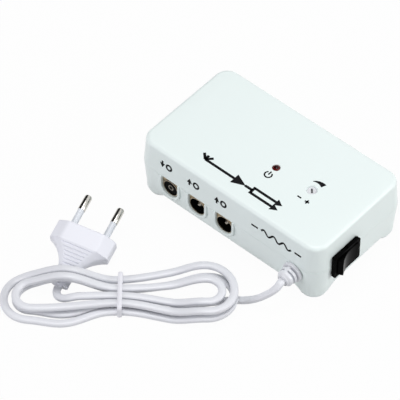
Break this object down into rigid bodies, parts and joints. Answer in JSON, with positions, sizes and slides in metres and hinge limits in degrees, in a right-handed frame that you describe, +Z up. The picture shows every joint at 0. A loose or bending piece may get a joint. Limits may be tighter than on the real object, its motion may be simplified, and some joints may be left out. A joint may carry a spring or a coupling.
{
  "type": "aerial signal amplifier",
  "caption": "Mains-powered aerial amplifier in a white two-shell case with coaxial input and outputs, lamp, gain trimmer, rocker switch and a tied flat cord with a two-pin plug.",
  "frame": {"origin": "on the table under the middle of the case, level with the soles of its feet", "axes": "+X along the case towards the switch end, -Y out of the socket side, +Z up"},
  "size_m": [0.1308, 0.1726, 0.0386],
  "materials": {
    "case_plastic": "satin moulded white",
    "screw_steel": "plated",
    "board_laminate": "green solder mask",
    "shell_nickel": "warm nickel plating",
    "socket_insulator": "black",
    "contact_plating": "bright plating",
    "core_iron": "laminated, varnished",
    "bobbin_plastic": "cream",
    "winding_copper": "enamelled copper",
    "can_aluminium": "sleeved can",
    "chip_black": "black",
    "ferrite": "ferrite grey",
    "lamp_red": "tinted clear red",
    "trimmer_blue": "blue",
    "shaft_white": "white",
    "switch_black": "black",
    "rocker_black": "polished black",
    "terminal_brass": "plain",
    "wire_cover": "brown and blue insulation",
    "cord_cover": "soft white",
    "tie_plastic": "white",
    "plug_plastic": "moulded white",
    "sleeve_plastic": "white"
  },
  "bodies": {
    "case": {"lower_case": "case_plastic", "upper_cover": "case_plastic", "case_screws": "screw_steel", "board_screws": "screw_steel", "circuit_board": "board_laminate", "input_shell": "shell_nickel", "output_1_shell": "shell_nickel", "output_2_shell": "shell_nickel", "input_insulator": "socket_insulator", "output_1_insulator": "socket_insulator", "output_2_insulator": "socket_insulator", "input_contact": "contact_plating", "output_1_pin": "contact_plating", "output_2_pin": "contact_plating", "plug_pins": "contact_plating", "led_legs": "contact_plating", "transformer_core": "core_iron", "transformer_bobbin": "bobbin_plastic", "transformer_windings": "winding_copper", "smoothing_capacitor": "can_aluminium", "rectifier_diodes": "chip_black", "rf_transistors": "chip_black", "voltage_regulator": "chip_black", "splitter_core": "ferrite", "power_led": "lamp_red", "gain_body": "trimmer_blue", "switch_housing": "switch_black", "switch_terminals": "terminal_brass", "mains_wires": "wire_cover", "strain_relief": "cord_cover", "cord_lead": "cord_cover", "cord_hank": "cord_cover", "cord_tail": "cord_cover", "hank_tie": "tie_plastic", "plug_body": "plug_plastic", "plug_sleeves": "sleeve_plastic"},
    "rocker": {"switch_rocker": "rocker_black"},
    "gain": {"gain_shaft": "shaft_white"}
  },
  "joints": [
    {"name": "rocker_tilt", "type": "hinge", "parent": "case", "child": "rocker", "pos_m": [0.05965, -0.0134, 0.0205], "axis": [0, 0, 1], "range_deg": [-18, 0]},
    {"name": "gain_turn", "type": "hinge", "parent": "case", "child": "gain", "pos_m": [0.0291, -0.003, 0.016], "axis": [0, 0, 1], "range_deg": [-135, 135]}
  ]
}
